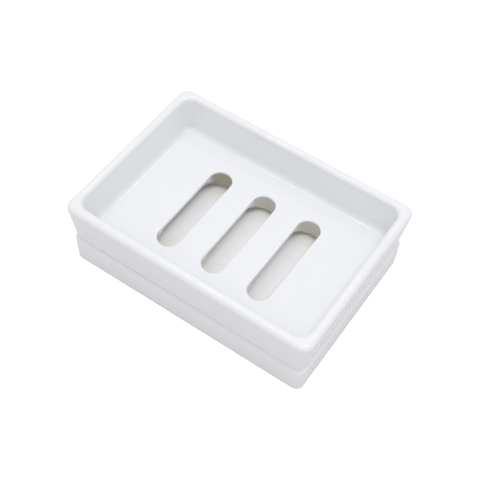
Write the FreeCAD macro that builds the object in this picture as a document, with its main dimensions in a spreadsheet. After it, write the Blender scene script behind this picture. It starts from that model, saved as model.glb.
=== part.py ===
import FreeCAD, Part
import math
import os
import Sketcher
from FreeCAD import Placement, Rotation, Vector

# Two-piece glazed ceramic soap dish.
# A drain tray with a sunk soap bed and three slots sits on the rim of a drip tray.
# Origin: middle of the foot, on the table. +X runs along the long side, +Z up.

# Driving sizes in millimetres, slopes in degrees from upright.
SIZES = [
    ("rim_length", 132.0, "drain tray over its rim, long way"),
    ("rim_width", 94.6, "drain tray over its rim, short way"),
    ("seat_corner", 2.25, "corner radius where the drain tray meets the drip tray"),
    ("tray_height", 23.3, "drain tray from its seat to its rim"),
    ("wall_slope", 8.2, "lean of the drain tray's outer wall"),
    ("wall", 5.3, "wall of the drain tray at the rim"),
    ("bed_slope", 4.0, "lean of the soap bed's walls"),
    ("bed_corner", 4.3, "corner radius of the soap bed at its floor"),
    ("bed_depth", 20.2, "soap bed from the rim to its floor"),
    ("bed_fillet", 3.0, "round between the bed's walls and floor"),
    ("rim_round_out", 2.6, "round on the outside of the rim"),
    ("rim_round_in", 2.1, "round on the inside of the rim"),
    ("seat_bevel", 0.4, "bevel under the drain tray's outer edge"),
    ("slot_length", 53.0, "drain slot over its round ends"),
    ("slot_width", 11.6, "drain slot across, at the soap bed"),
    ("slot_land", 2.0, "upright stretch of a slot's side walls, below the soap bed"),
    ("slot_flare", 4.8, "how far each side of a slot then widens down to its outlet"),
    ("slot_relief", 0.4, "how far the widened part passes the slot's ends at the outlet"),
    ("slot_pitch", 25.4, "from one slot to the next"),
    ("slot_count", 3, "number of drain slots"),
    ("slot_bevel", 0.6, "bevel on the slots' edges"),
    ("plug_gap", 0.8, "play round the plug in the drip tray's mouth"),
    ("plug_lift", 1.5, "from the plug down to the drip tray's floor"),
    ("drip_height", 15.5, "drip tray from the table to its rim"),
    ("reveal", 1.5, "drip tray's rim standing out past the drain tray"),
    ("drip_slope", 1.8, "lean of the drip tray's outer wall"),
    ("base_corner", 3.9, "corner radius of the drip tray's foot"),
    ("drip_wall", 4.6, "wall of the drip tray at its rim"),
    ("drip_floor", 4.9, "thickness of the drip tray's floor"),
    ("well_slope", 4.0, "lean of the drip tray's inner walls"),
    ("well_corner", 3.2, "corner radius of the drip tray's well at its floor"),
    ("well_fillet", 2.5, "round between the well's walls and floor"),
    ("lip_round_out", 2.2, "round on the outside of the drip tray's rim"),
    ("lip_bevel_in", 0.8, "bevel on the inside of the drip tray's rim"),
    ("base_bevel", 0.5, "bevel on the foot ring's edges"),
    ("foot_ring", 5.0, "width of the foot ring under the drip tray"),
    ("foot_height", 1.2, "height of the foot ring"),
]

# Sizes that follow from the driving ones.
WELL_DEPTH = "(Sizes.drip_height - Sizes.foot_height - Sizes.drip_floor)"
PLUG_DEPTH = "(" + WELL_DEPTH + " - Sizes.plug_lift)"
BED_LEVEL = "(Sizes.tray_height - Sizes.bed_depth)"
BED_FLOOR = "(" + BED_LEVEL + " + " + PLUG_DEPTH + ")"
FLARE_RATE = "(Sizes.slot_flare / (" + BED_FLOOR + " - Sizes.slot_land))"
RIM_LEAN = "(Sizes.tray_height * tan(Sizes.wall_slope * 1deg))"
BED_LEAN = "(Sizes.bed_depth * tan(Sizes.bed_slope * 1deg))"
LIP_LEAN = "(Sizes.drip_height * tan(Sizes.drip_slope * 1deg))"
WELL_LEAN = "(" + WELL_DEPTH + " * tan(Sizes.well_slope * 1deg))"
SEAT_LENGTH = "Sizes.rim_length - 2 * " + RIM_LEAN
SEAT_WIDTH = "Sizes.rim_width - 2 * " + RIM_LEAN
LIP_LENGTH = SEAT_LENGTH + " + 2 * Sizes.reveal"
LIP_WIDTH = SEAT_WIDTH + " + 2 * Sizes.reveal"
MOUTH_LENGTH = LIP_LENGTH + " - 2 * Sizes.drip_wall"
MOUTH_WIDTH = LIP_WIDTH + " - 2 * Sizes.drip_wall"

# How close a face has to be to a level to count as lying on it.
NEAR = 0.01

# The most of a wall, corner or floor that a round or bevel on its edge may take.
CORNER_SHARE = 0.9
OUTSIDE_SHARE = 0.52
INSIDE_SHARE = 0.42
BEVEL_SHARE = 0.3

# The least corner radius of the plug, in millimetres.
LEAST_CORNER = 1.0

QUARTER_TURN = math.pi / 2
HALF_TURN = math.pi


def write_sizes(doc):
    sheet = doc.addObject("Spreadsheet::Sheet", "Sizes")
    sheet.set("A1", "size")
    sheet.set("B1", "value")
    sheet.set("C1", "what it is")
    for row, (alias, value, note) in enumerate(SIZES, start=2):
        sheet.set("A%d" % row, alias)
        sheet.set("B%d" % row, str(value))
        sheet.set("C%d" % row, note)
        sheet.setAlias("B%d" % row, alias)
    doc.recompute()
    return sheet


def plane_of(body, role):
    for item in body.Origin.OriginFeatures:
        if item.Role == role:
            return item
    raise RuntimeError("no %s in %s" % (role, body.Label))


def flat_sketch(body, name, height):
    """An empty sketch on a level plane of the body, at a height given as an expression."""
    sketch = body.newObject("Sketcher::SketchObject", name)
    sketch.AttachmentSupport = (plane_of(body, "XY_Plane"), "")
    sketch.MapMode = "FlatFace"
    sketch.setExpression("AttachmentOffset.Base.z", height)
    return sketch


def bind(sketch, constraint, name, expression):
    """Adds a driving dimension and ties it to the sheet."""
    index = sketch.addConstraint(constraint)
    sketch.renameConstraint(index, name)
    sketch.setExpression("Constraints." + name, expression)


def rounded_rectangle(body, name, height, length, width, corner):
    """A centred rectangle with round corners, long side along X."""
    sketch = flat_sketch(body, name, height)
    # Drawn roughly first. The dimensions below then bring it to size.
    a, b, r = 50.0, 35.0, 4.0
    up = Vector(0, 0, 1)
    sides = [
        Part.LineSegment(Vector(-a + r, -b, 0), Vector(a - r, -b, 0)),
        Part.LineSegment(Vector(a, -b + r, 0), Vector(a, b - r, 0)),
        Part.LineSegment(Vector(a - r, b, 0), Vector(-a + r, b, 0)),
        Part.LineSegment(Vector(-a, b - r, 0), Vector(-a, -b + r, 0)),
    ]
    middles = [(a - r, -b + r), (a - r, b - r), (-a + r, b - r), (-a + r, -b + r)]
    corners = []
    for turn, (x, y) in enumerate(middles, start=-1):
        circle = Part.Circle(Vector(x, y, 0), up, r)
        corners.append(Part.ArcOfCircle(circle, turn * QUARTER_TURN, (turn + 1) * QUARTER_TURN))
    sketch.addGeometry(sides + corners, False)
    for side in range(4):
        arc = side + 4
        following = (side + 1) % 4
        sketch.addConstraint(Sketcher.Constraint("Tangent", side, 2, arc, 1))
        sketch.addConstraint(Sketcher.Constraint("Tangent", arc, 2, following, 1))
    sketch.addConstraint(Sketcher.Constraint("Horizontal", 0))
    sketch.addConstraint(Sketcher.Constraint("Vertical", 1))
    sketch.addConstraint(Sketcher.Constraint("Horizontal", 2))
    sketch.addConstraint(Sketcher.Constraint("Vertical", 3))
    for arc in (5, 6, 7):
        sketch.addConstraint(Sketcher.Constraint("Equal", 4, arc))
    bind(sketch, Sketcher.Constraint("Radius", 4, r), "corner", corner)
    bind(sketch, Sketcher.Constraint("DistanceX", -1, 1, 1, 1, a), "right", "(%s) / 2" % length)
    bind(sketch, Sketcher.Constraint("DistanceX", 3, 1, -1, 1, a), "left", "(%s) / 2" % length)
    bind(sketch, Sketcher.Constraint("DistanceY", -1, 1, 2, 1, b), "back", "(%s) / 2" % width)
    bind(sketch, Sketcher.Constraint("DistanceY", 0, 1, -1, 1, b), "front", "(%s) / 2" % width)
    return sketch


def slot_outline(body, name, height, middle, length, width):
    """A slot with round ends, long way along Y, at a place along X."""
    sketch = flat_sketch(body, name, height)
    # Drawn roughly first. The dimensions below then bring it to size.
    x, reach, r = -25.0, 20.0, 5.0
    up = Vector(0, 0, 1)
    far_end = Part.ArcOfCircle(Part.Circle(Vector(x, reach, 0), up, r), 0, HALF_TURN)
    near_end = Part.ArcOfCircle(Part.Circle(Vector(x, -reach, 0), up, r), HALF_TURN, 2 * HALF_TURN)
    left = Part.LineSegment(Vector(x - r, reach, 0), Vector(x - r, -reach, 0))
    right = Part.LineSegment(Vector(x + r, -reach, 0), Vector(x + r, reach, 0))
    sketch.addGeometry([far_end, left, near_end, right], False)
    for part in range(4):
        sketch.addConstraint(Sketcher.Constraint("Tangent", part, 2, (part + 1) % 4, 1))
    sketch.addConstraint(Sketcher.Constraint("Vertical", 1))
    sketch.addConstraint(Sketcher.Constraint("Vertical", 3))
    half_straight = "(%s - %s) / 2" % (length, width)
    bind(sketch, Sketcher.Constraint("Radius", 0, r), "end", "%s / 2" % width)
    bind(sketch, Sketcher.Constraint("DistanceX", 0, 3, -1, 1, -x), "middle", middle)
    bind(sketch, Sketcher.Constraint("DistanceY", -1, 1, 0, 3, reach), "far", half_straight)
    bind(sketch, Sketcher.Constraint("DistanceY", 2, 3, -1, 1, reach), "near", half_straight)
    return sketch


def flared(body, kind, name, outline, height, slope, upward=True):
    """A block or a hollow that widens evenly as it goes up or down from its outline."""
    feature = body.newObject(kind, name)
    feature.Profile = outline
    feature.Reversed = upward == (kind == "PartDesign::Pocket")
    feature.setExpression("Length", height)
    feature.setExpression("TaperAngle", slope)
    return feature


def level_face(feature, height):
    """The largest flat face of a feature that lies at a height."""
    found = []
    for face in feature.Shape.Faces:
        box = face.BoundBox
        if abs(box.ZMin - height) < NEAR and abs(box.ZMax - height) < NEAR:
            found.append(face)
    if not found:
        raise RuntimeError("%s has no face at %.2f" % (feature.Label, height))
    return max(found, key=lambda face: face.BoundBox.DiagonalLength)


def edge_names(feature, edges):
    names = []
    for number, edge in enumerate(feature.Shape.Edges, start=1):
        if any(edge.isSame(wanted) for wanted in edges):
            names.append("Edge%d" % number)
    return names


def outer_loop(feature, height):
    return edge_names(feature, level_face(feature, height).OuterWire.Edges)


def inner_loops(feature, height):
    face = level_face(feature, height)
    edges = []
    for wire in face.Wires:
        if not wire.isSame(face.OuterWire):
            edges.extend(wire.Edges)
    return edge_names(feature, edges)


def limited(size, share, wall):
    """A size from the sheet that gives way where its wall is too thin for it."""
    return "min(Sizes.%s; %s * Sizes.%s)" % (size, share, wall)


def soften(doc, body, kind, name, base, edges, size):
    """Rounds or bevels edges of a feature by a size given as an expression."""
    if not edges:
        raise RuntimeError("no edges for %s" % name)
    feature = body.newObject("PartDesign::" + kind, name)
    feature.Base = (base, edges)
    feature.setExpression("Radius" if kind == "Fillet" else "Size", size)
    doc.recompute()
    return feature


def new_body(doc, label, height):
    body = doc.addObject("PartDesign::Body", label)
    body.Label = label
    body.Placement = Placement(Vector(0, 0, 0), Rotation())
    body.setExpression("Placement.Base.z", height)
    return body


def drain_tray(doc, sheet):
    """The upper piece: sloping walls, a sunk soap bed, three slots and a plug beneath."""
    body = new_body(doc, "drain_tray", "Sizes.drip_height")
    seat = rounded_rectangle(body, "SeatOutline", "0", SEAT_LENGTH, SEAT_WIDTH, "Sizes.seat_corner")
    flared(body, "PartDesign::Pad", "OuterWalls", seat, "Sizes.tray_height", "Sizes.wall_slope")
    doc.recompute()

    # The plug drops into the mouth of the drip tray and keeps the two pieces in line.
    plug = rounded_rectangle(
        body, "PlugOutline", "0", MOUTH_LENGTH + " - 2 * Sizes.plug_gap",
        MOUTH_WIDTH + " - 2 * Sizes.plug_gap",
        "max(Sizes.well_corner + %s - Sizes.plug_gap; %s)" % (WELL_LEAN, LEAST_CORNER))
    boss = body.newObject("PartDesign::Pad", "Plug")
    boss.Profile = plug
    boss.Reversed = True
    boss.setExpression("Length", PLUG_DEPTH)
    doc.recompute()

    bed_outline = rounded_rectangle(
        body, "BedOutline", BED_LEVEL,
        "Sizes.rim_length - 2 * Sizes.wall - 2 * " + BED_LEAN,
        "Sizes.rim_width - 2 * Sizes.wall - 2 * " + BED_LEAN, "Sizes.bed_corner")
    bed = flared(
        body, "PartDesign::Pocket", "SoapBed", bed_outline, "Sizes.bed_depth", "Sizes.bed_slope")
    doc.recompute()

    rim_level = sheet.tray_height
    floor_level = sheet.tray_height - sheet.bed_depth
    under_level = -boss.Length.Value
    soften(
        doc, body, "Fillet", "BedFillet", bed, outer_loop(bed, floor_level),
        limited("bed_fillet", CORNER_SHARE, "bed_corner"))

    # The slots widen below their mouths, so that nothing that falls in can lodge there.
    first_middle = "(Sizes.slot_count - 1) / 2 * Sizes.slot_pitch"
    first = slot_outline(
        body, "SlotOutline", BED_LEVEL, first_middle, "Sizes.slot_length", "Sizes.slot_width")
    slot = body.newObject("PartDesign::Pocket", "DrainSlot")
    slot.Profile = first
    slot.setExpression("Length", BED_FLOOR)
    doc.recompute()
    flare_start = slot_outline(
        body, "FlareOutline", BED_LEVEL, first_middle,
        "(Sizes.slot_length + 2 * Sizes.slot_relief - 2 * %s * %s)" % (BED_FLOOR, FLARE_RATE),
        "(Sizes.slot_width - 2 * Sizes.slot_land * %s)" % FLARE_RATE)
    flare = flared(
        body, "PartDesign::Pocket", "SlotFlare", flare_start, BED_FLOOR,
        "atan(%s)" % FLARE_RATE, upward=False)
    doc.recompute()
    row = body.newObject("PartDesign::LinearPattern", "SlotRow")
    row.Originals = [slot, flare]
    row.Direction = (first, ["H_Axis"])
    row.setExpression("Length", "(Sizes.slot_count - 1) * Sizes.slot_pitch")
    row.setExpression("Occurrences", "Sizes.slot_count")
    body.Tip = row
    doc.recompute()

    # Glaze gathers on every edge, so none is sharp. The small ones are plain bevels.
    slot_bevel = limited("slot_bevel", BEVEL_SHARE, "slot_land")
    mouths = soften(
        doc, body, "Chamfer", "SlotMouths", row, inner_loops(row, floor_level), slot_bevel)
    outlets = soften(
        doc, body, "Chamfer", "SlotOutlets", mouths,
        inner_loops(mouths, under_level) + outer_loop(mouths, under_level), slot_bevel)
    rolled = soften(
        doc, body, "Fillet", "RimOutside", outlets, outer_loop(outlets, rim_level),
        limited("rim_round_out", OUTSIDE_SHARE, "wall"))
    rolled = soften(
        doc, body, "Fillet", "RimInside", rolled, inner_loops(rolled, rim_level),
        limited("rim_round_in", INSIDE_SHARE, "wall"))
    soften(
        doc, body, "Chamfer", "SeatEdge", rolled, outer_loop(rolled, 0),
        limited("seat_bevel", BEVEL_SHARE, "seat_corner"))
    return body


def drip_tray(doc, sheet):
    """The lower piece: a shallow tray on a foot ring, with a round lip to seat the other."""
    body = new_body(doc, "drip_tray", "0")
    base_length = LIP_LENGTH + " - 2 * " + LIP_LEAN
    base_width = LIP_WIDTH + " - 2 * " + LIP_LEAN
    base = rounded_rectangle(
        body, "BaseOutline", "0", base_length, base_width, "Sizes.base_corner")
    flared(body, "PartDesign::Pad", "OuterWalls", base, "Sizes.drip_height", "Sizes.drip_slope")
    doc.recompute()

    well_outline = rounded_rectangle(
        body, "WellOutline", "Sizes.drip_height - " + WELL_DEPTH,
        MOUTH_LENGTH + " - 2 * " + WELL_LEAN, MOUTH_WIDTH + " - 2 * " + WELL_LEAN,
        "Sizes.well_corner")
    flared(body, "PartDesign::Pocket", "Well", well_outline, WELL_DEPTH, "Sizes.well_slope")
    doc.recompute()

    ring_inside = rounded_rectangle(
        body, "RingInside", "0", base_length + " - 2 * Sizes.foot_ring",
        base_width + " - 2 * Sizes.foot_ring", "Sizes.base_corner")
    hollow = body.newObject("PartDesign::Pocket", "FootHollow")
    hollow.Profile = ring_inside
    hollow.Reversed = True
    hollow.setExpression("Length", "Sizes.foot_height")
    doc.recompute()

    rim_level = sheet.drip_height
    floor_level = sheet.foot_height + sheet.drip_floor
    rounded = soften(
        doc, body, "Fillet", "WellFillet", hollow, outer_loop(hollow, floor_level),
        limited("well_fillet", CORNER_SHARE, "well_corner"))
    rolled = soften(
        doc, body, "Fillet", "LipOutside", rounded, outer_loop(rounded, rim_level),
        limited("lip_round_out", OUTSIDE_SHARE, "drip_wall"))
    rolled = soften(
        doc, body, "Chamfer", "LipInside", rolled, inner_loops(rolled, rim_level),
        limited("lip_bevel_in", BEVEL_SHARE, "drip_wall"))
    soften(
        doc, body, "Chamfer", "BaseEdge", rolled, outer_loop(rolled, 0) + inner_loops(rolled, 0),
        limited("base_bevel", BEVEL_SHARE, "foot_ring"))
    return body


def check(doc, bodies):
    """Stops before anything is written if an object failed or a solid is not sound."""
    for item in doc.Objects:
        if "Invalid" in item.State or "Error" in item.State:
            raise RuntimeError("%s failed: %s" % (item.Label, item.State))
    for body in bodies:
        shape = body.Shape
        if shape.isNull() or not shape.isValid() or len(shape.Solids) != 1:
            raise RuntimeError("%s is not one sound solid" % body.Label)
        box = shape.BoundBox
        print("%s  volume %.0f mm3  box %.2f x %.2f x %.2f  z %.2f to %.2f" % (
            body.Label, shape.Volume, box.XLength, box.YLength, box.ZLength, box.ZMin, box.ZMax))


def main():
    doc = FreeCAD.newDocument("SoapDish")
    sheet = write_sizes(doc)
    bodies = [drip_tray(doc, sheet), drain_tray(doc, sheet)]
    doc.recompute()
    check(doc, bodies)
    os.makedirs("parts", exist_ok=True)
    for body in bodies:
        body.Shape.exportStep(os.path.join("parts", body.Label + ".step"))


main()
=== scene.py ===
import math

import bmesh
import bpy
from bpy.props import FloatProperty, FloatVectorProperty, IntProperty, PointerProperty
from mathutils import Matrix, Vector


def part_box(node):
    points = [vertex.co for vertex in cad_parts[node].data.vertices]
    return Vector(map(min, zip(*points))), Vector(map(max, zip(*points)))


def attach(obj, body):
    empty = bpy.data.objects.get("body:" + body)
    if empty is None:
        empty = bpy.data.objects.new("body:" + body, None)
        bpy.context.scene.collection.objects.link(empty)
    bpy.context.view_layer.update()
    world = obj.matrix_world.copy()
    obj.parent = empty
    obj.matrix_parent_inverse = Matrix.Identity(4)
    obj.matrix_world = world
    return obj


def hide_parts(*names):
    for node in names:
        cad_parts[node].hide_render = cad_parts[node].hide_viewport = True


bl_info = {
    "name": "Ceramic soap dish",
    "version": (1, 0, 0),
    "blender": (4, 5, 0),
    "location": "View3D > Sidebar > Soap dish",
    "description": "Builds the drain tray, the drip tray and the stage of a glazed soap dish",
    "category": "Object",
}

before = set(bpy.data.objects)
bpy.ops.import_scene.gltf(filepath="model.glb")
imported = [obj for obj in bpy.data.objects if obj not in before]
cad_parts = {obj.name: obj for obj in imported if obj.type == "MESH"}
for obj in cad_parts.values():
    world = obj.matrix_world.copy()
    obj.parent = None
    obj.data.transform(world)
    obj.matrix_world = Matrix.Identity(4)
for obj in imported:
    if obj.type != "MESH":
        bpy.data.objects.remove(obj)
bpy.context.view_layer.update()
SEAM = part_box("drip_tray")[1][2]
RIM_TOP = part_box("drain_tray")[1][2]
PLUG_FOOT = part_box("drain_tray")[0][2]

# How finely the round stretches are divided.
CORNER_STEPS = 18
LONG_STEPS = 26
SHORT_STEPS = 18
ROUND_STEPS = 9
SLOT_END_STEPS = 40
SLOT_SIDE_STEPS = 14
SLOT_WALL_STEPS = 8
DRAIN_WALL_STEPS = 8
DRIP_WALL_STEPS = 6
SMALLEST_CORNER = 0.00002

# How often the glaze's patterns repeat in a metre, and how the light bends in it.
CLOUD_SCALE = 70.0
RIPPLE_SCALE = 160.0
FINE_SCALE = 420.0
GRAIN_SCALE = 5200.0
GLAZE_INDEX = 1.52

# Where the glaze changes, in metres: the depths of the painted shade and the painted light go down from
# the bed's floor, edges are soft margins, the least share of painted light is a share, and the others
# are distances from the middle.
SOFT_EDGE = 0.0002
PAINTED_SHADE_START = 0.0190
PAINTED_SHADE_FULL = 0.0235
SLOTS_END = 0.0290
SLOTS_SIDE = 0.0400
FIRST_SLOT_SIDE = -0.0130
PAINTED_SHADE_CHANGE = 0.0010
PAINTED_SHADE_DEPTH = (0.0006, 0.0014)
PAINTED_LIGHT_DEPTH = (0.0004, 0.0012)
PAINTED_LIGHT_START = 0.0100
PAINTED_LIGHT_FULL = 0.0240
PAINTED_LIGHT_LEAST = 0.35
MOUTH_EDGE = (0.0003, 0.0008)
WELL_EDGE = (0.001, 0.002)
BARE_EDGE = 0.0004

# Name, place, width, depth and the stage's value for the radiance, for each lamp.
LAMPS = (
    ("soft_box", (0.27, 0.05, 1.2), 0.4, 0.4, "lamp_power"),
    ("side_glint", (0.04, 0.57, 1.05), 0.03, 0.16, "glint_power"),
    ("back_glint", (-0.30, -0.01, 1.15), 0.03, 0.26, "glint_power"),
    ("front_fill", (0.1, -0.7, 1.0), 0.6, 0.5, "fill_power"),
)
AIM = Vector((0, 0, 0.02))
TABLE_REACH = 2.0

QUARTER = math.pi / 2


def length(name, description, default):
    return FloatProperty(name=name, description=description, default=default, min=0.0, unit="LENGTH")


def lean(name, description, degrees):
    return FloatProperty(
        name=name, description=description, default=math.radians(degrees), subtype="ANGLE")


def tone(name, description, default):
    return FloatVectorProperty(
        name=name, description=description, default=default, subtype="COLOR", size=3, min=0.0, max=1.0)


def amount(name, description, default):
    return FloatProperty(name=name, description=description, default=default)


class DishSizes(bpy.types.PropertyGroup):
    """Sizes of the two trays."""

    rim_length: length("Rim length", "Drain tray over its rim, long way, before the round", 0.132)
    rim_width: length("Rim width", "Drain tray over its rim, short way, before the round", 0.0946)
    wall_lean: lean("Wall lean", "Lean of the drain tray's outer wall", 8.2)
    seat_corner: length("Seat corner", "Corner radius of the drain tray at its seat", 0.00225)
    wall: length("Wall", "Wall of the drain tray at the rim", 0.0053)
    bed_lean: lean("Bed lean", "Lean of the soap bed's walls", 4.0)
    bed_corner: length("Bed corner", "Corner radius of the soap bed at its floor", 0.0043)
    bed_depth: length("Bed depth", "Soap bed from the rim to its floor", 0.0202)
    bed_fillet: length("Bed fillet", "Round between the bed's walls and its floor", 0.003)
    rim_round_out: length("Outer rim round", "Round on the outside of the rim", 0.0026)
    rim_round_in: length("Inner rim round", "Round on the inside of the rim", 0.0021)
    seat_round: length("Seat round", "Round under the drain tray's outer edge", 0.0005)
    slot_length: length("Slot length", "Drain slot over its round ends", 0.053)
    slot_width: length("Slot width", "Drain slot across", 0.0116)
    slot_pitch: length("Slot pitch", "From one slot to the next", 0.0254)
    slot_count: IntProperty(name="Slots", description="Number of drain slots", default=3, min=1)
    slot_round: length("Slot round", "Glaze round on the slots' edges", 0.0004)
    slot_land: length("Slot land", "Upright stretch of a slot's side walls", 0.002)
    slot_flare: length("Slot flare", "How far each side then widens down to the outlet", 0.0048)
    slot_relief: length("Slot relief", "How far the flare passes the slot's ends", 0.0004)
    plug_gap: length("Plug gap", "Play between the plug and the drip tray", 0.0008)
    reveal: length("Reveal", "Drip tray's rim standing out past the drain tray", 0.0015)
    drip_lean: lean("Drip lean", "Lean of the drip tray's outer wall", 1.8)
    base_corner: length("Base corner", "Corner radius of the drip tray's foot", 0.0039)
    drip_wall: length("Drip wall", "Wall of the drip tray at its rim", 0.0046)
    drip_floor: length("Drip floor", "Thickness of the drip tray's floor", 0.0049)
    well_lean: lean("Well lean", "Lean of the drip tray's inner walls", 4.0)
    well_corner: length("Well corner", "Corner radius of the well at its floor", 0.0032)
    well_fillet: length("Well fillet", "Round between the well's walls and its floor", 0.0025)
    lip_round_out: length("Outer lip round", "Round on the outside of the drip tray's rim", 0.0022)
    lip_round_in: length("Inner lip round", "Round on the inside of the drip tray's rim", 0.0008)
    base_round: length("Base round", "Round on the foot ring's edges", 0.0005)
    foot_ring: length("Foot ring", "Width of the foot ring", 0.005)
    foot_height: length("Foot height", "Height of the foot ring", 0.0012)


class GlazeLook(bpy.types.PropertyGroup):
    """Colours and finish of the glaze and the bare clay, with painted shade on the slots' end walls and
    painted light in the slots and the well.
    """

    glaze: tone("Glaze", "White glaze over most of the dish", (0.875, 0.885, 0.912))
    thin_glaze: tone("Thin glaze", "The same in cloudy patches, a little warmer", (0.885, 0.885, 0.90))
    # Painted shade: darker colour on the slots' end walls, darker still on the left slot.
    painted_shade_glaze: tone("Shaded glaze", "Thin greyish glaze on the slots' end walls", (0.44, 0.425, 0.31))
    pale_painted_shade_glaze: tone(
        "Pale shaded glaze", "The same on the middle and right slots", (0.64, 0.62, 0.535))
    # Painted light: whiter colour on the slot walls, the plug's underside and the well, to lighten the
    # shade there.
    painted_light_glaze: tone("Pooled glaze", "Thick glaze in the slots and the well", (0.97, 0.97, 0.963))
    clay: tone("Clay", "Bare fired clay under the foot ring and the plug", (0.74, 0.70, 0.63))
    gloss: amount("Roughness", "Roughness of the glaze", 0.1)
    ripple: length("Ripple", "Height of the glaze's soft ripple", 0.000005)


class StageLook(bpy.types.PropertyGroup):
    """Camera, floor and light."""

    azimuth: lean("Azimuth", "Camera's turn about the dish", 31.455)
    elevation: lean("Elevation", "Camera's height above the table, as an angle", 53.788)
    roll: lean("Roll", "Camera's tilt about its own axis", 3.732)
    distance: length("Distance", "From the camera to the dish", 0.467127)
    slide_right: FloatProperty(
        name="Slide right", description="Camera's shift to its right", default=0.000337, unit="LENGTH")
    slide_up: FloatProperty(
        name="Slide up", description="Camera's shift upwards", default=-0.003984, unit="LENGTH")
    lens: FloatProperty(name="Lens", description="Focal length in millimetres", default=74.8)
    floor_bounce: amount("Floor bounce", "How much light the floor gives back", 0.78)
    floor_glow: amount("Floor glow", "What the camera sees of the floor over its own light", 0.78)
    sky: amount("Sky", "Strength of the even light from all round", 0.68)
    lamp_power: amount("Lamp", "Radiance of the soft box over the dish", 6.15)
    glint_power: amount("Glint", "Radiance of the two small lights that mark the bed's edges", 32.0)
    fill_power: amount("Fill", "Radiance of the large light high in front", 1.2)


class Rectangle:
    """A level outline with round corners. It grows and shrinks evenly, corners and all."""

    def __init__(self, half_length, half_width, corner):
        self.half_length = half_length
        self.half_width = half_width
        self.corner = corner

    def points(self, grow):
        """Places and outward directions round the outline, grown by a distance."""
        a = self.half_length + grow
        b = self.half_width + grow
        r = max(self.corner + grow, SMALLEST_CORNER)
        steps = (SHORT_STEPS, LONG_STEPS, SHORT_STEPS, LONG_STEPS)
        corners = ((a - r, b - r), (-a + r, b - r), (-a + r, -b + r), (a - r, -b + r))
        found = []
        for number, (x, y) in enumerate(corners):
            start = number * QUARTER
            for step in range(CORNER_STEPS + 1):
                angle = start + QUARTER * step / CORNER_STEPS
                out = Vector((math.cos(angle), math.sin(angle), 0))
                found.append((Vector((x, y, 0)) + out * r, out))
            x2, y2 = corners[(number + 1) % 4]
            end = start + QUARTER
            out = Vector((math.cos(end), math.sin(end), 0))
            here = Vector((x, y, 0)) + out * r
            there = Vector((x2, y2, 0)) + out * r
            sides = steps[(number + 1) % 4]
            for step in range(1, sides):
                found.append((here.lerp(there, step / sides), out))
        return found


class Slot:
    """A level outline with two straight sides along Y and round ends."""

    def __init__(self, middle, full_length, width):
        self.middle = middle
        self.end = (full_length - width) / 2
        self.radius = width / 2

    def points(self, grow):
        """Places and outward directions round the outline, grown by a distance."""
        r = self.radius + grow
        found = []
        for side in (1, -1):
            start = 0 if side > 0 else math.pi
            for step in range(SLOT_END_STEPS + 1):
                angle = start + math.pi * step / SLOT_END_STEPS
                out = Vector((math.cos(angle), math.sin(angle), 0))
                found.append((Vector((self.middle, side * self.end, 0)) + out * r, out))
            out = Vector((-side, 0, 0))
            here = Vector((self.middle - side * r, side * self.end, 0))
            there = Vector((self.middle - side * r, -side * self.end, 0))
            for step in range(1, SLOT_SIDE_STEPS):
                found.append((here.lerp(there, step / SLOT_SIDE_STEPS), out))
        return found


class Stop:
    """One ring of a skin: an outline, how far it is grown, its height and its slope."""

    def __init__(self, outline, grow, height, angle):
        self.outline = outline
        self.grow = grow
        self.height = height
        self.angle = angle


def convex(outline, grow, height, radius, start, end):
    """Rings round an outward edge. Angles turn from outward, 0, to straight up, a quarter."""
    stops = []
    for step in range(ROUND_STEPS + 1):
        angle = start + (end - start) * step / ROUND_STEPS
        stops.append(Stop(
            outline, grow + radius * math.cos(angle), height + radius * math.sin(angle), angle))
    return stops


def concave(outline, grow, height, radius, start, end):
    """Rings round an inward corner. The angles are those of the surface's own direction."""
    stops = []
    for step in range(ROUND_STEPS + 1):
        angle = start + (end - start) * step / ROUND_STEPS
        stops.append(Stop(
            outline, grow - radius * math.cos(angle), height - radius * math.sin(angle), angle))
    return stops


class Flare:
    """The widening part of a slot below its mouth: a hollow with evenly leaning walls."""

    def __init__(self, sizes, top, foot):
        self.top = top
        self.deck = top - foot
        self.rate = sizes.slot_flare / (self.deck - sizes.slot_land)
        self.start = sizes.slot_width / 2 - sizes.slot_land * self.rate
        self.slope = math.atan(self.rate)
        self.reach = sizes.slot_length / 2 + sizes.slot_relief - self.radius(self.deck)

    def radius(self, depth):
        return self.start + self.rate * depth

    def crossing(self, core, out, wall):
        """How deep an upright wall at a distance from the core goes before it meets the flare."""
        beyond = max(abs(core.y) - self.reach, 0)
        along = beyond * abs(out.y)
        return (math.sqrt(beyond ** 2 + 2 * along * wall + wall ** 2) - self.start) / self.rate

    def meet(self, core, out, depth):
        """Where a level ray from the slot's core meets the flare, and the way out from there."""
        beyond = max(abs(core.y) - self.reach, 0)
        along = beyond * abs(out.y)
        radius = self.radius(depth)
        distance = math.sqrt(radius ** 2 - beyond ** 2 + along ** 2) - along
        spot = core + out * distance
        middle = Vector((core.x, max(-self.reach, min(core.y, self.reach)), 0))
        return spot, (spot - middle) / radius


def tilted(out, angle):
    return Vector((out.x * math.cos(angle), out.y * math.cos(angle), math.sin(angle)))


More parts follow.
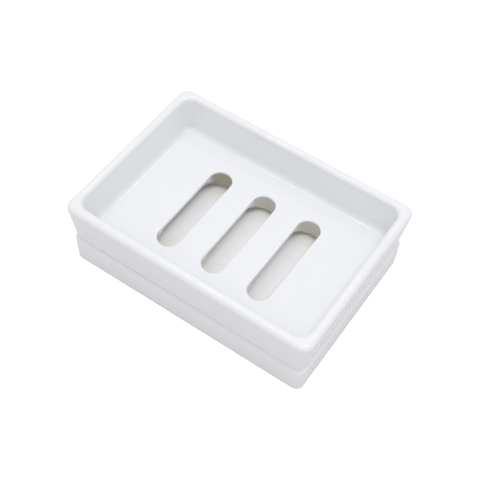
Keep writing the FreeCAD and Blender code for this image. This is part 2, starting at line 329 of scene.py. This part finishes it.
def slot_column(place, out, wall, flare, edge):
    """Places and directions down a slot's wall, below one point of its outline."""
    upright = 2 * QUARTER
    leaning = upright + flare.slope
    core = place - out * wall
    column = []
    for step in range(ROUND_STEPS + 1):
        angle = QUARTER + QUARTER * step / ROUND_STEPS
        spot = place + out * (edge + edge * math.cos(angle))
        spot.z = flare.top - edge + edge * math.sin(angle)
        column.append((spot, tilted(out, angle)))
    bend = flare.crossing(core, out, wall)
    outlet = flare.deck - edge * (1 - math.sin(flare.slope))
    soft = min(edge / 2, (outlet - bend) / 2)
    for step in range(1, SLOT_WALL_STEPS + 1):
        spot = place.copy()
        spot.z = flare.top - edge - (bend - soft - edge) * step / SLOT_WALL_STEPS
        column.append((spot, tilted(out, upright)))
    for step in range(SLOT_WALL_STEPS):
        depth = bend + soft + (outlet - bend - soft) * step / SLOT_WALL_STEPS
        spot, away = flare.meet(core, out, depth)
        spot.z = flare.top - depth
        column.append((spot, tilted(away, leaning)))
    foot, away = flare.meet(core, out, flare.deck)
    back = edge * (1 - math.sin(flare.slope)) / math.cos(flare.slope)
    for step in range(ROUND_STEPS + 1):
        angle = leaning + (3 * QUARTER - leaning) * step / ROUND_STEPS
        spot = foot + away * (back + edge * math.cos(angle))
        spot.z = flare.top - flare.deck + edge + edge * math.sin(angle)
        column.append((spot, tilted(away, angle)))
    return column


def outer_setback(radius, slope):
    """From a wall's top edge in to the middle of a round, where the wall leans out."""
    return radius * (1 + math.sin(slope)) / math.cos(slope)


def inner_setback(radius, slope):
    """From a hollow's top edge out to the middle of a round, where the hollow widens up."""
    return radius * (1 - math.sin(slope)) / math.cos(slope)


class Skin:
    """A closed glaze skin, made of rings joined by bands of quads."""

    def __init__(self):
        self.bm = bmesh.new()
        self.normals = []

    def ring(self, stop):
        out_share = math.cos(stop.angle)
        up_share = math.sin(stop.angle)
        ring = []
        for place, out in stop.outline.points(stop.grow):
            ring.append(self.bm.verts.new((place.x, place.y, stop.height)))
            self.normals.append(Vector((out.x * out_share, out.y * out_share, up_share)))
        return ring

    def band(self, lower, upper):
        count = len(lower)
        for place in range(count):
            following = (place + 1) % count
            self.bm.faces.new((lower[place], lower[following], upper[following], upper[place]))

    def wrap(self, stops):
        """Joins the stops by bands and returns the first and last ring."""
        rings = [self.ring(stop) for stop in stops]
        for lower, upper in zip(rings, rings[1:]):
            self.band(lower, upper)
        return rings[0], rings[-1]

    def slot(self, slot, flare, edge):
        """The wall of a slot: a round mouth, an upright land, the flare and a round outlet."""
        columns = []
        for place, out in slot.points(0):
            columns.append(slot_column(place, out, slot.radius, flare, edge))
        rings = []
        for step in range(len(columns[0])):
            ring = []
            for column in columns:
                spot, facing = column[step]
                ring.append(self.bm.verts.new(spot))
                self.normals.append(facing)
            rings.append(ring)
        for upper, lower in zip(rings, rings[1:]):
            self.band(upper, lower)
        return rings[0], rings[-1]

    def level(self, rings, up):
        """Fills the space between rings at one height, the first ring outermost."""
        edges = []
        for ring in rings:
            for place, vert in enumerate(ring):
                following = ring[(place + 1) % len(ring)]
                edges.append(self.bm.edges.get((vert, following)))
        made = bmesh.ops.triangle_fill(self.bm, use_beauty=True, edges=edges)
        for face in made["geom"]:
            if isinstance(face, bmesh.types.BMFace):
                face.normal_update()
                if (face.normal.z > 0) != up:
                    face.normal_flip()

    def finish(self, name):
        mesh = bpy.data.meshes.new(name)
        self.bm.verts.index_update()
        self.bm.to_mesh(mesh)
        self.bm.free()
        mesh.polygons.foreach_set("use_smooth", [True] * len(mesh.polygons))
        mesh.normals_split_custom_set_from_vertices(self.normals)
        piece = bpy.data.objects.new(name, mesh)
        bpy.context.scene.collection.objects.link(piece)
        return piece


class Wire:
    """A node socket that takes part in sums."""

    def __init__(self, tree, socket):
        self.tree = tree
        self.socket = socket

    def node(self, kind, settings=None, **values):
        """Adds a node, sets it up, and fills its sockets with values or links."""
        made = self.tree.nodes.new(kind)
        for key, value in (settings or {}).items():
            setattr(made, key, value)
        for key, value in values.items():
            target = made.inputs[key.replace("_", " ")]
            if isinstance(value, Wire):
                self.tree.links.new(value.socket, target)
            else:
                target.default_value = value
        return made

    def maths(self, operation, *terms):
        made = self.node("ShaderNodeMath", {"operation": operation})
        for place, term in enumerate(terms):
            if isinstance(term, Wire):
                self.tree.links.new(term.socket, made.inputs[place])
            else:
                made.inputs[place].default_value = term
        return Wire(self.tree, made.outputs[0])

    def __add__(self, other):
        return self.maths("ADD", self, other)

    def __radd__(self, other):
        return self.maths("ADD", other, self)

    def __sub__(self, other):
        return self.maths("SUBTRACT", self, other)

    def __rsub__(self, other):
        return self.maths("SUBTRACT", other, self)

    def __mul__(self, other):
        return self.maths("MULTIPLY", self, other)

    def smooth(self, low, high):
        """0 below low, 1 above high, with a soft step between."""
        made = self.node(
            "ShaderNodeMapRange", {"interpolation_type": "SMOOTHSTEP"},
            Value=self, From_Min=low, From_Max=high)
        return Wire(self.tree, made.outputs[0])

    def size(self):
        return self.maths("ABSOLUTE", self)

    def blend(self, start, end):
        """Mixes two colours by this share."""
        made = self.node("ShaderNodeMix", {"data_type": "RGBA"})
        for place, term in ((0, self), (6, start), (7, end)):
            if isinstance(term, Wire):
                self.tree.links.new(term.socket, made.inputs[place])
            else:
                made.inputs[place].default_value = term
        return Wire(self.tree, made.outputs[2])

    def noise(self, scale, detail, roughness=0.5):
        """Cloudy noise on these coordinates, about 0.5 in the middle."""
        made = self.node(
            "ShaderNodeTexNoise", Vector=self, Scale=scale, Detail=detail, Roughness=roughness)
        return Wire(self.tree, made.outputs["Fac"])


def rgba(colour):
    return (colour[0], colour[1], colour[2], 1.0)


def new_material(name):
    material = bpy.data.materials.new(name)
    material.use_nodes = True
    tree = material.node_tree
    tree.nodes.clear()
    return material, tree


def coordinates(tree):
    """The place on the object and its height, as sockets."""
    node = tree.nodes.new("ShaderNodeTexCoord")
    place = Wire(tree, node.outputs["Object"])
    split = place.node("ShaderNodeSeparateXYZ", Vector=place)
    return place, [Wire(tree, split.outputs[axis]) for axis in range(3)]


def glaze_material(name, look, painted_light, bare, painted_shade=None):
    """White glaze with a soft ripple. The last three make masks: painted light that whitens the slots
    and the well, bare clay, and painted shade on the slots' end walls.
    """
    material, tree = new_material(name)
    place, axes = coordinates(tree)
    cloud = place.noise(CLOUD_SCALE, 4.0)
    fine = place.noise(FINE_SCALE, 2.0)
    grain = place.noise(GRAIN_SCALE, 2.0, 0.7)
    clay = bare(axes, fine)

    colour = (cloud * 0.5).blend(rgba(look.glaze), rgba(look.thin_glaze))
    # Painted light: whiter colour where the mask marks shade in the slots and the well.
    colour = painted_light(axes).blend(colour, rgba(look.painted_light_glaze))
    # Painted shade: darker colour on the slots' end walls, darker still on the left slot.
    if painted_shade:
        first = axes[0].smooth(FIRST_SLOT_SIDE + PAINTED_SHADE_CHANGE, FIRST_SLOT_SIDE - PAINTED_SHADE_CHANGE)
        painted_shade_tint = first.blend(rgba(look.pale_painted_shade_glaze), rgba(look.painted_shade_glaze))
        colour = painted_shade(axes).blend(colour, painted_shade_tint)
    colour = clay.blend(colour, (grain.smooth(0.2, 0.8)).blend(
        rgba(look.clay), rgba([0.9 * channel for channel in look.clay])))
    roughness = look.gloss + (fine - 0.5) * 0.05 + clay * 0.6

    height = place.noise(RIPPLE_SCALE, 1.0) * (1 - clay) + grain * clay * 0.6
    bump = place.node("ShaderNodeBump", Height=height, Strength=1.0, Distance=look.ripple)

    shader = place.node("ShaderNodeBsdfPrincipled", Base_Color=colour, Roughness=roughness)
    shader.inputs["IOR"].default_value = GLAZE_INDEX
    tree.links.new(bump.outputs[0], shader.inputs["Normal"])
    output = tree.nodes.new("ShaderNodeOutputMaterial")
    tree.links.new(shader.outputs[0], output.inputs["Surface"])
    return material


def drain_outlines(sizes):
    """The drain tray's seat, bed and plug outlines and the heights that go with them."""
    height = RIM_TOP - SEAM
    rim_lean = height * math.tan(sizes.wall_lean)
    seat = Rectangle(
        sizes.rim_length / 2 - rim_lean, sizes.rim_width / 2 - rim_lean, sizes.seat_corner)
    floor = RIM_TOP - sizes.bed_depth
    bed_shift = sizes.bed_depth * math.tan(sizes.bed_lean)
    bed = Rectangle(
        sizes.rim_length / 2 - sizes.wall - bed_shift,
        sizes.rim_width / 2 - sizes.wall - bed_shift, sizes.bed_corner)
    return seat, rim_lean, bed, bed_shift, floor


def mouth_outline(sizes, seat):
    """The mouth of the drip tray, which the plug drops into."""
    well_depth = SEAM - sizes.foot_height - sizes.drip_floor
    widening = well_depth * math.tan(sizes.well_lean)
    inward = sizes.reveal - sizes.drip_wall
    return Rectangle(
        seat.half_length + inward, seat.half_width + inward, sizes.well_corner + widening)


def build_drain_tray(sizes):
    """The upper tray's skin, from its plug up over the rim and down into the bed."""
    seat, rim_lean, bed, bed_shift, floor = drain_outlines(sizes)
    mouth = mouth_outline(sizes, seat)
    plug = Rectangle(
        mouth.half_length - sizes.plug_gap, mouth.half_width - sizes.plug_gap,
        mouth.corner - sizes.plug_gap)
    skin = Skin()
    edge = sizes.slot_round
    fill = 0.6 * edge

    stops = convex(plug, -edge, PLUG_FOOT + edge, edge, -QUARTER, 0)
    stops += concave(plug, fill, SEAM - fill, fill, 0, -QUARTER)
    low = sizes.seat_round
    wall_angle = -sizes.wall_lean
    seat_back = inner_setback(low, sizes.wall_lean)
    stops += convex(seat, -seat_back, SEAM + low, low, -QUARTER, wall_angle)
    out_back = outer_setback(sizes.rim_round_out, sizes.wall_lean)
    rim_middle = RIM_TOP - sizes.rim_round_out
    over = convex(
        seat, rim_lean - out_back, rim_middle, sizes.rim_round_out, wall_angle, QUARTER)
    stops += straight(stops[-1], over[0], DRAIN_WALL_STEPS)
    stops += over
    in_back = inner_setback(sizes.rim_round_in, sizes.bed_lean)
    into = convex(
        bed, bed_shift + in_back, RIM_TOP - sizes.rim_round_in, sizes.rim_round_in,
        QUARTER, 2 * QUARTER - sizes.bed_lean)
    stops += into
    foot_back = inner_setback(sizes.bed_fillet, sizes.bed_lean)
    dip = concave(
        bed, -foot_back, floor + sizes.bed_fillet, sizes.bed_fillet,
        2 * QUARTER - sizes.bed_lean, QUARTER)
    stops += straight(into[-1], dip[0], DRAIN_WALL_STEPS)
    stops += dip
    under_ring, floor_ring = skin.wrap(stops)

    flare = Flare(sizes, floor, PLUG_FOOT)
    over_rings = [floor_ring]
    under_rings = [under_ring]
    for number in range(sizes.slot_count):
        middle = (number - (sizes.slot_count - 1) / 2) * sizes.slot_pitch
        slot = Slot(middle, sizes.slot_length, sizes.slot_width)
        top, bottom = skin.slot(slot, flare, edge)
        over_rings.append(top)
        under_rings.append(bottom)
    skin.level(over_rings, True)
    skin.level(under_rings, False)
    return skin.finish("drain_tray_glazed")


def straight(start, end, steps):
    """Rings on the straight run between two stops of one outline, ends left out."""
    stops = []
    for step in range(1, steps):
        share = step / steps
        stops.append(Stop(
            start.outline, start.grow + (end.grow - start.grow) * share,
            start.height + (end.height - start.height) * share, start.angle))
    return stops


def build_drip_tray(sizes):
    """The lower tray's skin, from its foot ring up over the lip and down into the well."""
    seat = drain_outlines(sizes)[0]
    mouth = mouth_outline(sizes, seat)
    lip_lean = SEAM * math.tan(sizes.drip_lean)
    base = Rectangle(
        seat.half_length + sizes.reveal - lip_lean, seat.half_width + sizes.reveal - lip_lean,
        sizes.base_corner)
    hollow = Rectangle(
        base.half_length - sizes.foot_ring, base.half_width - sizes.foot_ring, sizes.base_corner)
    floor = sizes.foot_height + sizes.drip_floor
    widening = (SEAM - floor) * math.tan(sizes.well_lean)
    skin = Skin()

    edge = sizes.base_round
    half_hollow = sizes.foot_height / 2
    corner = min(edge, 0.9 * half_hollow)
    stops = concave(
        hollow, -corner, sizes.foot_height - corner, corner, 3 * QUARTER, 2 * QUARTER)
    stops += convex(hollow, corner, corner, corner, 2 * QUARTER, 3 * QUARTER)
    wall_angle = -sizes.drip_lean
    back = inner_setback(edge, sizes.drip_lean)
    stops += convex(base, -back, edge, edge, -QUARTER, wall_angle)
    out_back = outer_setback(sizes.lip_round_out, sizes.drip_lean)
    over = convex(
        base, lip_lean - out_back, SEAM - sizes.lip_round_out, sizes.lip_round_out,
        wall_angle, QUARTER)
    stops += straight(stops[-1], over[0], DRIP_WALL_STEPS)
    stops += over
    in_back = inner_setback(sizes.lip_round_in, sizes.well_lean)
    into = convex(
        mouth, in_back, SEAM - sizes.lip_round_in, sizes.lip_round_in,
        QUARTER, 2 * QUARTER - sizes.well_lean)
    stops += into
    foot_back = inner_setback(sizes.well_fillet, sizes.well_lean)
    dip = concave(
        mouth, -widening - foot_back, floor + sizes.well_fillet, sizes.well_fillet,
        2 * QUARTER - sizes.well_lean, QUARTER)
    stops += straight(into[-1], dip[0], DRIP_WALL_STEPS)
    stops += dip
    under_ring, floor_ring = skin.wrap(stops)
    skin.level([floor_ring], True)
    skin.level([under_ring], False)
    return skin.finish("drip_tray_glazed")


class DISH_OT_drain_tray(bpy.types.Operator):
    """Build the glazed drain tray in place of its plain solid"""

    bl_idname = "dish.drain_tray"
    bl_label = "Drain tray"

    def execute(self, context):
        sizes = context.scene.dish_sizes
        look = context.scene.dish_glaze
        piece = build_drain_tray(sizes)
        floor = RIM_TOP - sizes.bed_depth

        def among_slots(axes):
            across = 1 - axes[1].size().smooth(SLOTS_END, SLOTS_END + SOFT_EDGE)
            return across * (1 - axes[0].size().smooth(SLOTS_SIDE, SLOTS_SIDE + SOFT_EDGE))

        # Painted light on the slot walls and the plug's underside, below the bed's floor.
        def painted_light(axes):
            low = 1 - axes[2].smooth(floor - PAINTED_LIGHT_DEPTH[1], floor - PAINTED_LIGHT_DEPTH[0])
            return low * among_slots(axes)

        # Painted shade on the slots' end walls, below the bed's floor.
        def painted_shade(axes):
            low = 1 - axes[2].smooth(floor - PAINTED_SHADE_DEPTH[1], floor - PAINTED_SHADE_DEPTH[0])
            high = axes[2].smooth(PLUG_FOOT, PLUG_FOOT + BARE_EDGE)
            return low * high * axes[1].size().smooth(PAINTED_SHADE_START, PAINTED_SHADE_FULL) * among_slots(axes)

        def bare(axes, fine):
            uneven = axes[2] + (fine - 0.5) * BARE_EDGE
            return 1 - uneven.smooth(PLUG_FOOT, PLUG_FOOT + 0.75 * BARE_EDGE)

        piece.data.materials.append(glaze_material("drain_tray_glaze", look, painted_light, bare, painted_shade))
        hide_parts("drain_tray")
        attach(piece, "root")
        return {"FINISHED"}


class DISH_OT_drip_tray(bpy.types.Operator):
    """Build the glazed drip tray in place of its plain solid"""

    bl_idname = "dish.drip_tray"
    bl_label = "Drip tray"

    def execute(self, context):
        sizes = context.scene.dish_sizes
        look = context.scene.dish_glaze
        piece = build_drip_tray(sizes)
        mouth = mouth_outline(sizes, drain_outlines(sizes)[0])

        # Painted light in the well, strongest under the plug where its shade falls.
        def painted_light(axes):
            foot = sizes.foot_height
            inside = axes[2].smooth(foot + WELL_EDGE[0], foot + WELL_EDGE[1])
            for axis, half in ((axes[0], mouth.half_length), (axes[1], mouth.half_width)):
                inside *= 1 - axis.size().smooth(half + MOUTH_EDGE[0], half + MOUTH_EDGE[1])
            painted_light_under_plug = axes[1].size().smooth(PAINTED_LIGHT_START, PAINTED_LIGHT_FULL)
            return inside * (painted_light_under_plug * (1 - PAINTED_LIGHT_LEAST) + PAINTED_LIGHT_LEAST)

        def bare(axes, fine):
            uneven = axes[2] + (fine - 0.5) * BARE_EDGE
            return 1 - uneven.smooth(0.25 * BARE_EDGE, BARE_EDGE)

        piece.data.materials.append(glaze_material("drip_tray_glaze", look, painted_light, bare))
        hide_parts("drip_tray")
        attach(piece, "root")
        return {"FINISHED"}


def floor_material(look):
    """White to the camera, with the dish's shadow, and a duller bounce."""
    material, tree = new_material("pale_table")
    path = tree.nodes.new("ShaderNodeLightPath")
    camera = Wire(tree, path.outputs["Is Camera Ray"])
    bounce = look.floor_bounce
    plain = camera.node("ShaderNodeBsdfDiffuse", Color=(bounce, bounce, bounce, 1))
    glow = camera.node("ShaderNodeEmission", Color=(1, 1, 1, 1), Strength=look.floor_glow)
    both = tree.nodes.new("ShaderNodeAddShader")
    tree.links.new(plain.outputs[0], both.inputs[0])
    tree.links.new(glow.outputs[0], both.inputs[1])
    mixed = tree.nodes.new("ShaderNodeMixShader")
    tree.links.new(camera.socket, mixed.inputs[0])
    tree.links.new(plain.outputs[0], mixed.inputs[1])
    tree.links.new(both.outputs[0], mixed.inputs[2])
    output = tree.nodes.new("ShaderNodeOutputMaterial")
    tree.links.new(mixed.outputs[0], output.inputs["Surface"])
    return material


def set_world(look):
    """Even light from all round, white where the camera sees it."""
    world = bpy.data.worlds.new("white_tent")
    world.use_nodes = True
    tree = world.node_tree
    tree.nodes.clear()
    path = tree.nodes.new("ShaderNodeLightPath")
    camera = Wire(tree, path.outputs["Is Camera Ray"])
    strength = camera + (1 - camera) * look.sky
    sky = camera.node("ShaderNodeBackground", Color=(1, 1, 1, 1), Strength=strength)
    output = tree.nodes.new("ShaderNodeOutputWorld")
    tree.links.new(sky.outputs[0], output.inputs["Surface"])
    bpy.context.scene.world = world


def add_lamp(name, place, width, depth, radiance):
    """A rectangular soft box that looks at the dish. Its power follows from its radiance."""
    lamp = bpy.data.lights.new(name, "AREA")
    lamp.shape = "RECTANGLE"
    lamp.size = width
    lamp.size_y = depth
    lamp.energy = radiance * math.pi * width * depth
    holder = bpy.data.objects.new(name, lamp)
    holder.location = place
    holder.rotation_euler = (AIM - place).to_track_quat("-Z", "Y").to_euler()
    bpy.context.scene.collection.objects.link(holder)


def add_camera(look):
    """The camera at the photograph's viewing angle."""
    turn = look.azimuth
    rise = look.elevation
    back = Vector((math.sin(turn) * math.cos(rise), -math.cos(turn) * math.cos(rise), math.sin(rise)))
    right = Vector((math.cos(turn), math.sin(turn), 0))
    up = back.cross(right)
    across = math.cos(look.roll) * right + math.sin(look.roll) * up
    upward = math.cos(look.roll) * up - math.sin(look.roll) * right
    place = AIM + back * look.distance + across * look.slide_right + upward * look.slide_up
    camera = bpy.data.cameras.new("camera")
    camera.lens = look.lens
    camera.sensor_width = 36.0
    camera.clip_start = 0.01
    holder = bpy.data.objects.new("camera", camera)
    pose = Matrix((across, upward, back)).transposed().to_4x4()
    pose.translation = place
    holder.matrix_world = pose
    bpy.context.scene.collection.objects.link(holder)
    bpy.context.scene.camera = holder


class DISH_OT_stage(bpy.types.Operator):
    """Set up the floor, the light and the camera"""

    bl_idname = "dish.stage"
    bl_label = "Stage"

    def execute(self, context):
        look = context.scene.dish_stage
        mesh = bpy.data.meshes.new("table")
        turns = ((-1, -1), (1, -1), (1, 1), (-1, 1))
        mesh.from_pydata(
            [(x * TABLE_REACH, y * TABLE_REACH, 0) for x, y in turns], [], [(0, 1, 2, 3)])
        table = bpy.data.objects.new("table", mesh)
        table.data.materials.append(floor_material(look))
        context.scene.collection.objects.link(table)
        set_world(look)
        for name, place, width, depth, power in LAMPS:
            add_lamp(name, Vector(place), width, depth, getattr(look, power))
        add_camera(look)
        context.scene.view_settings.view_transform = "Standard"
        return {"FINISHED"}


class DISH_PT_panel(bpy.types.Panel):
    """Lists the parts of the soap dish."""

    bl_idname = "DISH_PT_panel"
    bl_label = "Soap dish"
    bl_space_type = "VIEW_3D"
    bl_region_type = "UI"
    bl_category = "Soap dish"

    def draw(self, context):
        for operator in (DISH_OT_drip_tray, DISH_OT_drain_tray, DISH_OT_stage):
            self.layout.operator(operator.bl_idname)
        for group in (context.scene.dish_sizes, context.scene.dish_glaze, context.scene.dish_stage):
            box = self.layout.box()
            for key in group.__annotations__:
                box.prop(group, key)


CLASSES = (
    DishSizes, GlazeLook, StageLook, DISH_OT_drip_tray, DISH_OT_drain_tray, DISH_OT_stage,
    DISH_PT_panel)


def register():
    for item in CLASSES:
        bpy.utils.register_class(item)
    bpy.types.Scene.dish_sizes = PointerProperty(type=DishSizes)
    bpy.types.Scene.dish_glaze = PointerProperty(type=GlazeLook)
    bpy.types.Scene.dish_stage = PointerProperty(type=StageLook)


def unregister():
    del bpy.types.Scene.dish_stage
    del bpy.types.Scene.dish_glaze
    del bpy.types.Scene.dish_sizes
    for item in reversed(CLASSES):
        bpy.utils.unregister_class(item)


def main():
    register()
    bpy.ops.dish.drip_tray()
    bpy.ops.dish.drain_tray()
    bpy.ops.dish.stage()


if __name__ == "__main__":
    main()
